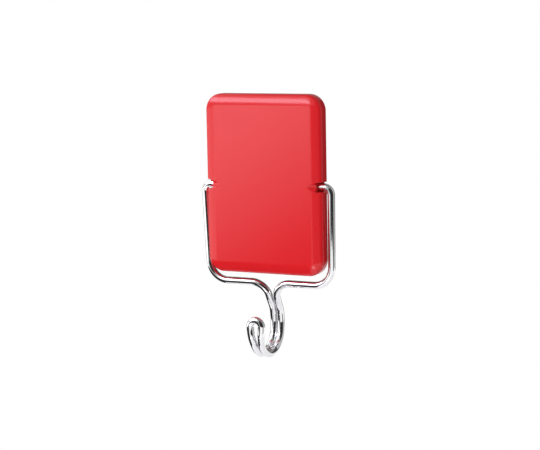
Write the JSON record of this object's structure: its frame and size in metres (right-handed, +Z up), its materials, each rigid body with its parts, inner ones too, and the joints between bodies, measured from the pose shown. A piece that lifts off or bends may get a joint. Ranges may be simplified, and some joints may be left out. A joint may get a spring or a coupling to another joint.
{
  "type": "magnetic hook",
  "caption": "Magnetic wall hook: a flat red case full of magnets, and a swinging plated hook bent from one wire.",
  "frame": {"origin": "middle of the grip sheet's rear face, the face that lies on the wall", "axes": "+Z up, +Y into the wall, so the front of the case faces -Y, and +X to the right as seen from the front"},
  "size_m": [0.0594, 0.0236, 0.107],
  "materials": {
    "case_plastic": "gloss",
    "base_plastic": "matte",
    "grip_rubber": "matte",
    "steel": "zinc plated",
    "ferrite": "matte",
    "wire_plating": "mirror"
  },
  "bodies": {
    "case": {"front_case": "case_plastic", "magnet_base": "base_plastic", "grip_sheet": "grip_rubber", "yoke_upper": "steel", "yoke_lower": "steel", "magnet_upper_left": "ferrite", "magnet_upper_right": "ferrite", "magnet_lower_left": "ferrite", "magnet_lower_right": "ferrite", "base_screw_upper_left": "steel", "base_screw_upper_right": "steel", "base_screw_lower_left": "steel", "base_screw_lower_right": "steel"},
    "bail": {"hook_wire": "wire_plating"}
  },
  "joints": [
    {"name": "bail_swing", "type": "hinge", "parent": "case", "child": "bail", "pos_m": [0, -0.00918, -0.0004], "axis": [-1, 0, 0], "range_deg": [0, 174]}
  ]
}
